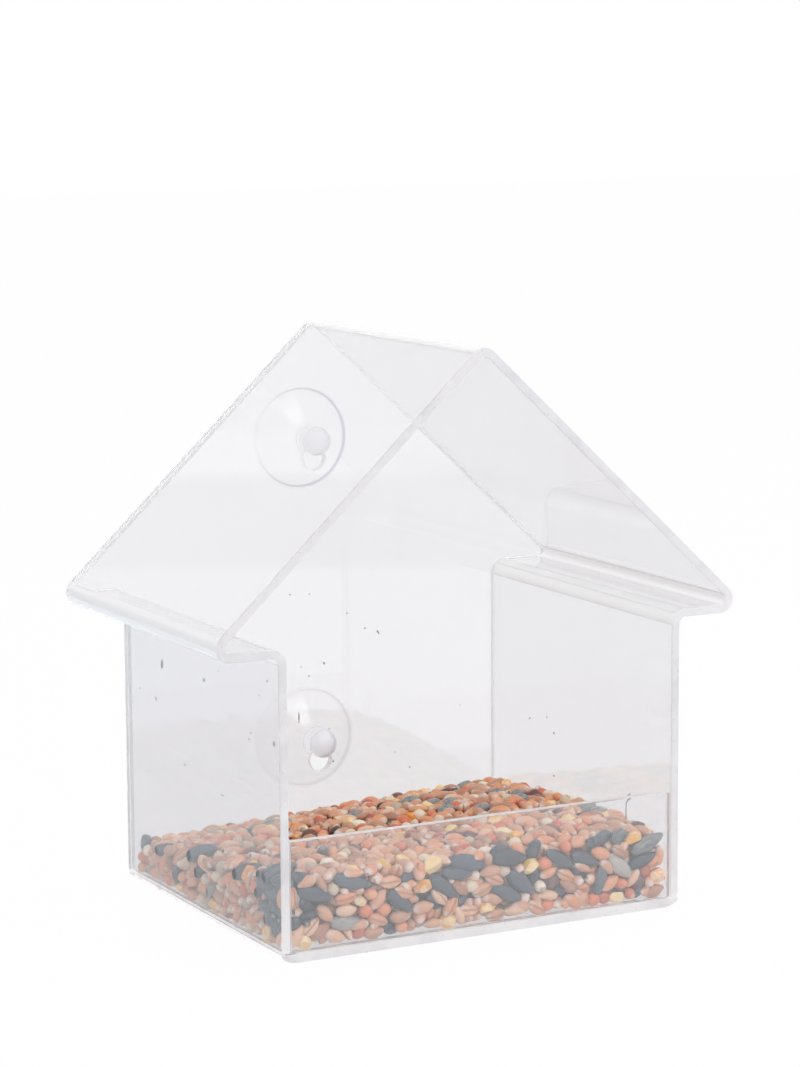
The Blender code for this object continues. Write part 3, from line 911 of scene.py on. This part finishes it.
def grainForm(kind, variant):
    # one grain, 1 long from -0.5 to 0.5 along X, flat side up; scaled to its real size at the end
    bm = bmesh.new()
    if kind == "maize":
        bmesh.ops.create_icosphere(bm, subdivisions=1, radius=0.56)
        chips = np.random.default_rng(20 + variant)
        for _ in range(4):
            facing = Vector(chips.normal(size=3)).normalized()
            flat = facing * chips.uniform(0.26, 0.40)
            cut = bmesh.ops.bisect_plane(bm, geom=bm.verts[:] + bm.edges[:] + bm.faces[:], clear_outer=True,
                                         plane_co=flat, plane_no=facing)["geom_cut"]
            bmesh.ops.edgeloop_fill(bm, edges=[item for item in cut if isinstance(item, bmesh.types.BMEdge)])
    else:
        around, rings = (12, 10) if kind == "sunflower" else (8, 7)
        bmesh.ops.create_uvsphere(bm, u_segments=around, v_segments=rings, radius=0.5)
        bmesh.ops.rotate(bm, verts=bm.verts, matrix=Matrix.Rotation(pi / 2, 3, "Y"))
    for vert in bm.verts:
        x, y, z = vert.co
        if kind == "wheat":
            taper = 1 - 0.34 * x - 0.9 * x * x
            crease = 0.16 if abs(y) < 0.05 and z < 0 else 0
            vert.co = (x, y * taper * 1.12, z * taper * 1.12 + crease * (1 - 3 * x * x))
        elif kind == "sunflower":
            blunt = (1.03 - 4 * x * x) ** (-0.16 if x < 0 else 0.04)
            taper = blunt * (1 - 0.7 * max(x, 0))
            vert.co = (x + 0.03, y * taper, z * blunt * (1 - 0.4 * abs(x)) * (1.12 - 0.5 * abs(y)))
        elif kind == "milo":
            vert.co = (x * (1 if x < 0 else 1.08), y, z)
        elif kind == "dari":
            vert.co = (x, y * (1 - 0.35 * x), z * (1 - 0.3 * x))
        elif kind == "pea":
            vert.co = (x, y * (1 + 0.12 * (z > 0.1)), z * (0.92 if abs(x) > 0.3 else 1.05))
    size = grainKinds[kind]
    form = bpy.data.meshes.new(kind + "Form")
    bm.to_mesh(form)
    bm.free()
    places = np.array([tuple(vert.co * 2) for vert in form.vertices], np.float32)
    form.transform(Matrix.Diagonal((size["length"], size["width"], size["depth"], 1)))
    return form, places


def joinGrains(kind, variant, members, middles, turns, sizes, tones, material):
    # all grains of one kind and form in one piece; each point keeps its place on its grain and its tone
    form, places = grainForm(kind, variant)
    bm = bmesh.new()
    for index in members:
        copy = form.copy()
        move = Matrix(turns[index].tolist()).to_4x4() * sizes[index]
        move.translation = Vector(middles[index])
        move[3][3] = 1
        copy.transform(move)
        bm.from_mesh(copy)
        bpy.data.meshes.remove(copy)
    piece = finishMesh(kind + "Grains" + ("ABC"[variant] if variant else ""), bm,
                       radians(35) if kind == "maize" else radians(80))
    points = piece.data.attributes.new("grain", "FLOAT_VECTOR", "POINT")
    points.data.foreach_set("vector", np.tile(places, (len(members), 1)).ravel())
    tone = piece.data.attributes.new("tone", "FLOAT", "POINT")
    tone.data.foreach_set("value", np.repeat(tones[members], len(places)).astype(np.float32))
    piece.data.materials.append(material)
    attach(piece, "house")
    return piece


def wheatMarks(colour, grain):
    # paler ends: the germ and brush ends' own colour, with a painted highlight at the tips
    germAndHighlight = (grain.along * -1).above(0.66, 0.4) * (grain.tone * 7.3).maths("FRACT").above(0.25, 0.2)
    brushAndHighlight = grain.along.above(0.8, 0.25) * (grain.tone * 11.9).maths("FRACT").above(0.4, 0.2)
    colour = blendColour(germAndHighlight.maths("MAXIMUM", brushAndHighlight * 0.8) * 0.8, colour, (0.72, 0.64, 0.58))
    # a darker line along the crease: painted shade in the groove
    crease = (grain.through * -1).above(-0.02, 0.25) * (1 - grain.across.maths("ABSOLUTE").above(0.16, 0.2))
    return blendColour(crease * 0.8, colour, (0.33, 0.13, 0.065))


def miloMarks(colour, grain):
    scar = grain.along.above(0.82, 0.12)
    return blendColour(scar * 0.7, colour, (0.62, 0.40, 0.26))


def sunflowerMarks(colour, grain):
    stripes = (grain.across * 15 + grain.speckle * 5).maths("SINE").above(0.86, 0.3)
    faded = stripes * (grain.tone * 5.7).maths("FRACT").above(0.3, 0.4) * 0.5
    colour = blendColour(faded, colour, (0.20, 0.21, 0.21))
    tip = grain.along.maths("ABSOLUTE").above(0.93, 0.08)
    return blendColour(tip * 0.6, colour, (0.42, 0.36, 0.28))


def maizeMarks(colour, grain):
    floury = (grain.speckle + grain.through * 0.18).above(0.58, 0.1)
    return blendColour(floury * 0.65, colour, (0.80, 0.69, 0.50))


def dariMarks(colour, grain):
    eye = grain.along.above(0.78, 0.12)
    return blendColour(eye * 0.65, colour, (0.24, 0.13, 0.08))


def peaMarks(colour, grain):
    return colour


grainSkins = {      # colours by tone, from the darkest; mottle is how far the speckle moves the tone
    "wheat": dict(marks=wheatMarks, roughness=0.45, bump=0.35, coat=0.0, mottle=0.35, stops=[
        (0.0, (0.40, 0.195, 0.12)), (0.25, (0.55, 0.29, 0.18)), (0.5, (0.63, 0.32, 0.19)),
        (0.75, (0.67, 0.265, 0.125)), (1.0, (0.71, 0.46, 0.32))]),
    "milo": dict(marks=miloMarks, roughness=0.36, bump=0.2, coat=0.15, mottle=0.35, stops=[
        (0.0, (0.33, 0.075, 0.042)), (0.3, (0.56, 0.135, 0.058)), (0.6, (0.68, 0.20, 0.085)),
        (1.0, (0.72, 0.33, 0.17))]),
    "sunflower": dict(marks=sunflowerMarks, roughness=0.42, bump=0.3, coat=0.1, mottle=0.12, stops=[
        (0.0, (0.014, 0.023, 0.036)), (0.6, (0.029, 0.046, 0.066)), (0.93, (0.05, 0.073, 0.095)),
        (1.0, (0.42, 0.39, 0.35))]),
    "maize": dict(marks=maizeMarks, roughness=0.4, bump=0.4, coat=0.1, mottle=0.35, stops=[
        (0.0, (0.74, 0.28, 0.05)), (0.4, (0.80, 0.43, 0.08)), (0.75, (0.80, 0.51, 0.15)),
        (1.0, (0.74, 0.56, 0.32))]),
    "dari": dict(marks=dariMarks, roughness=0.5, bump=0.3, coat=0.0, mottle=0.35, stops=[
        (0.0, (0.42, 0.33, 0.25)), (0.4, (0.66, 0.52, 0.38)), (0.8, (0.76, 0.65, 0.50)),
        (1.0, (0.80, 0.72, 0.60))]),
    "pea": dict(marks=peaMarks, roughness=0.4, bump=0.25, coat=0.1, mottle=0.35, stops=[
        (0.0, (0.055, 0.022, 0.022)), (0.5, (0.12, 0.045, 0.035)), (1.0, (0.22, 0.09, 0.06))]),
}


def makeSkin(kind):
    # colours by the grain's own tone and a speckle that differs by grain, then the kind's marks
    skin = grainSkins[kind]
    material, tree, shader = newMaterial(kind + "Skin", Coat_Weight=skin["coat"], Coat_Roughness=0.25,
                                         Roughness=skin["roughness"])
    place = addNode(tree, "ShaderNodeAttribute", dict(attribute_name="grain"), None, "Vector")
    tone = addNode(tree, "ShaderNodeAttribute", dict(attribute_name="tone"), None, "Fac")
    along, across, through = splitAxes(tree, place)
    speckle = addNode(tree, "ShaderNodeTexNoise", dict(noise_dimensions="4D"),
                      dict(Vector=place, W=tone * 61, Scale=2.4, Detail=3.0, Roughness=0.65))
    shade = (tone + (speckle - 0.5) * skin["mottle"]).maths("MAXIMUM", 0).maths("MINIMUM", 1)
    colour = addNode(tree, "ShaderNodeValToRGB", dict(stops=skin["stops"]), {0: shade})
    wrinkles = addNode(tree, "ShaderNodeBump", None,
                       dict(Strength=skin["bump"], Distance=0.0003, Height=speckle))
    grain = SimpleNamespace(along=along, across=across, through=through, tone=tone, speckle=speckle)
    feed(tree, shader, Base_Color=skin["marks"](colour, grain), Normal=wrinkles)
    return material


heart = dict(
    across=24, along=20, leastHeight=0.0004, inset=0.7, drop=0.8,       # the last two are shares of the crust
    # colour is painted shade, the dark between the deeper grains
    lumpHeight=0.0006, lumpSize=0.006, colour=(0.13, 0.055, 0.03), cells=260.0, speckled=0.25,
)


def makeSeedCore():
    # the heart of the heap, only glimpsed between the grains; its dark colour is painted shade, the deeper
    # grains in each other's shadow
    bm = bmesh.new()
    bmesh.ops.create_grid(bm, x_segments=heart["across"], y_segments=heart["along"], size=0.5)
    top = list(bm.verts)
    below = bmesh.ops.extrude_face_region(bm, geom=list(bm.faces))["geom"]
    foot = innerLow.z + heap["floorCrust"]
    for vert in (item for item in below if isinstance(item, bmesh.types.BMVert)):
        vert.co.z = foot
    inset = heap["sideCrust"] * heart["inset"]
    size = innerHigh - innerLow
    for vert in top:
        x, y = innerLow.x + (vert.co.x + 0.5) * size.x, innerLow.y + (vert.co.y + 0.5) * size.y
        lump = heart["lumpHeight"] * noise.noise(Vector((x, y, 0)) / heart["lumpSize"])
        vert.co.z = max(heapHeight(x, y) - heap["crust"] * heart["drop"] + lump, foot + heart["leastHeight"])
    bmesh.ops.scale(bm, verts=bm.verts, vec=(size.x - 2 * inset, size.y - 2 * inset, 1))
    middle = (innerLow + innerHigh) / 2
    bmesh.ops.translate(bm, verts=bm.verts, vec=(middle.x, middle.y, 0))
    bmesh.ops.recalc_face_normals(bm, faces=bm.faces)
    core = finishMesh("seedCore", bm, radians(60))
    material, tree, shader = newMaterial("seedShade", Roughness=0.8)
    cells = addNode(tree, "ShaderNodeTexVoronoi", None,
                    dict(Vector=objectPlace(tree), Scale=heart["cells"]), "Color")
    feed(tree, shader, Base_Color=blendColour(heart["speckled"], heart["colour"], cells, "MULTIPLY"))
    core.data.materials.append(material)
    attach(core, "house")
    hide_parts("seed_mix")


def makeSeed():
    makeSeedCore()
    kinds, middles, turns, sizes, tones = settleGrains()
    kinds = np.array(kinds)
    total = 0
    for kind in grainSkins:
        material = makeSkin(kind)
        members = np.nonzero(kinds == kind)[0]
        variants = 3 if kind == "maize" else 1          # broken maize comes in three shapes
        for variant in range(variants):
            chosen = members[variant::variants]
            piece = joinGrains(kind, variant, chosen, middles, turns, sizes, tones, material)
            total += len(piece.data.polygons)
    print("seed made:", len(kinds), "grains,", total, "faces")


# Bits of husk and dust that cling to the inside of the panes, and a stalk that stands in the seed

chaff = dict(
    # flat specks on the panes: two places in mm, width, height, angle
    left=[
        (21.6, 65.8, 2.2, 3.1, -8), (26.1, 55.3, 1.1, 1.3, 20), (-6.2, 66.1, 1.7, 1.3, 20),
        (-35.3, 57.2, 1.1, 0.5, 0), (-34, 55.3, 1.1, 0.5, 0), (-49.1, 56.9, 1.7, 1.8, -30),
        (7.1, 40.4, 2.2, 0.4, 0), (-16.7, 36.9, 2.8, 0.4, 0), (37.2, 56.4, 0.8, 0.8, 0),
        (-15.3, 70.1, 0.8, 0.4, 0), (-45.4, 72.6, 1.1, 0.8, 20), (-40.5, 68.1, 0.8, 0.5, 0)],
    back=[
        (-7.1, 41.4, 0.5, 3.9, 0), (4.4, 31.6, 0.9, 0.6, 0), (2.6, 37.2, 0.6, 0.4, 0),
        (3.8, 27.5, 0.6, 0.7, 20), (-9.5, 77.7, 0.6, 0.5, 0), (-3.3, 77.3, 0.6, 0.5, 0),
        (8.7, 70.7, 0.6, 0.5, 0), (14.5, 65.8, 0.6, 0.5, 0), (18.8, 64.2, 0.6, 1.7, -30),
        (-3.7, 53.4, 0.6, 0.5, 0), (1.2, 56.7, 0.7, 1.1, -30), (24.1, 28, 0.5, 0.4, 0),
        (29, 23, 0.4, 0.8, 20), (45.9, 39.9, 0.4, 0.4, 0), (-6.2, 56.3, 0.5, 0.4, 0)],
    right=[
        (22, 38.6, 0.7, 0.8, -20), (12.2, 40.7, 0.7, 0.5, 0), (8.2, 36.7, 0.7, 0.8, 0),
        (8.2, 24.1, 1.0, 0.5, 0)],
    seed=8, radius=0.0005, thin=0.22, shrink=0.85, gap=0.00012, tilt=0.1, dents=0.3, dentsPerMetre=2500,
    colour=(0.26, 0.25, 0.24), paler=(0.55, 0.53, 0.51),
    stalk=[
        (55.6, -34, 15.0, 0.30), (55.3, -34, 19.0, 0.24), (55.2, -34, 22.5, 0.20), (55.3, -34, 25.4, 0.20),
        (55.8, -34, 25.9, 0.32), (56.3, -34.2, 26.6, 0.62), (56.6, -34.4, 27.3, 0.45),
        (56.9, -34.5, 27.8, 0.12)],
)


def addStalk(bm, spots):
    # a thin round stem through points in mm, each with its radius
    lower = []
    for *place, radius in spots:
        place = Matrix.Translation(Vector(place) / 1000) @ Matrix.Rotation(pi / 2, 4, "Z")
        ring = bmesh.ops.create_circle(bm, segments=6, radius=radius / 1000, matrix=place)["verts"]
        upper = list(dict.fromkeys(edge for vert in ring for edge in vert.link_edges))
        if lower:
            bmesh.ops.bridge_loops(bm, edges=lower + upper)
        lower = upper
    bmesh.ops.contextual_create(bm, geom=lower)         # closes the tip


def makeChaff():
    bm = bmesh.new()
    wall = house["wallSpan"] / 2 - sheet["thickness"] - chaff["gap"]
    sideways = Matrix.Rotation(pi / 2, 4, "Z")
    panes = dict(
        left=Matrix.Translation((-wall, 0, 0)) @ sideways,
        right=Matrix.Translation((wall, 0, 0)) @ sideways,
        back=Matrix.Translation((0, backY - sheet["thickness"] - chaff["gap"], 0)),
    )
    rng = np.random.default_rng(chaff["seed"])
    for name, pane in panes.items():
        for first, second, width, height, angle in chaff[name]:
            bit = bmesh.ops.create_icosphere(bm, subdivisions=2, radius=chaff["radius"])["verts"]
            for vert in bit:
                dent = noise.noise(vert.co * chaff["dentsPerMetre"] + Vector((first, second, 0)))
                vert.co *= 1 + chaff["dents"] * dent
            place = pane @ Matrix.Translation((first / 1000, 0, second / 1000))
            lean = Matrix.Rotation(radians(angle) + rng.normal(0, chaff["tilt"]), 4, "Y")
            size = Matrix.Diagonal((width * chaff["shrink"], chaff["thin"], height * chaff["shrink"], 1))
            bmesh.ops.transform(bm, matrix=place @ lean @ size, verts=bit)
    addStalk(bm, chaff["stalk"])
    piece = finishMesh("chaff", bm, radians(40))
    material, tree, shader = newMaterial("chaff", Roughness=0.7)
    mottle = noiseOver(tree, objectPlace(tree), 900.0, 3.0)
    feed(tree, shader, Base_Color=blendColour(mottle.above(0.55, 0.2), chaff["colour"], chaff["paler"]))
    piece.data.materials.append(material)
    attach(piece, "house")
    print("chaff made")


makeWorld()
makeTable()
makeLamps()
print("studio made")
makeHouse()
makeCups()
makeSeed()
makeChaff()

for kind in ("max", "glossy", "transmission", "transparent_max"):       # a ray crosses many panes and grains
    setattr(scene.cycles, kind + "_bounces", 24)
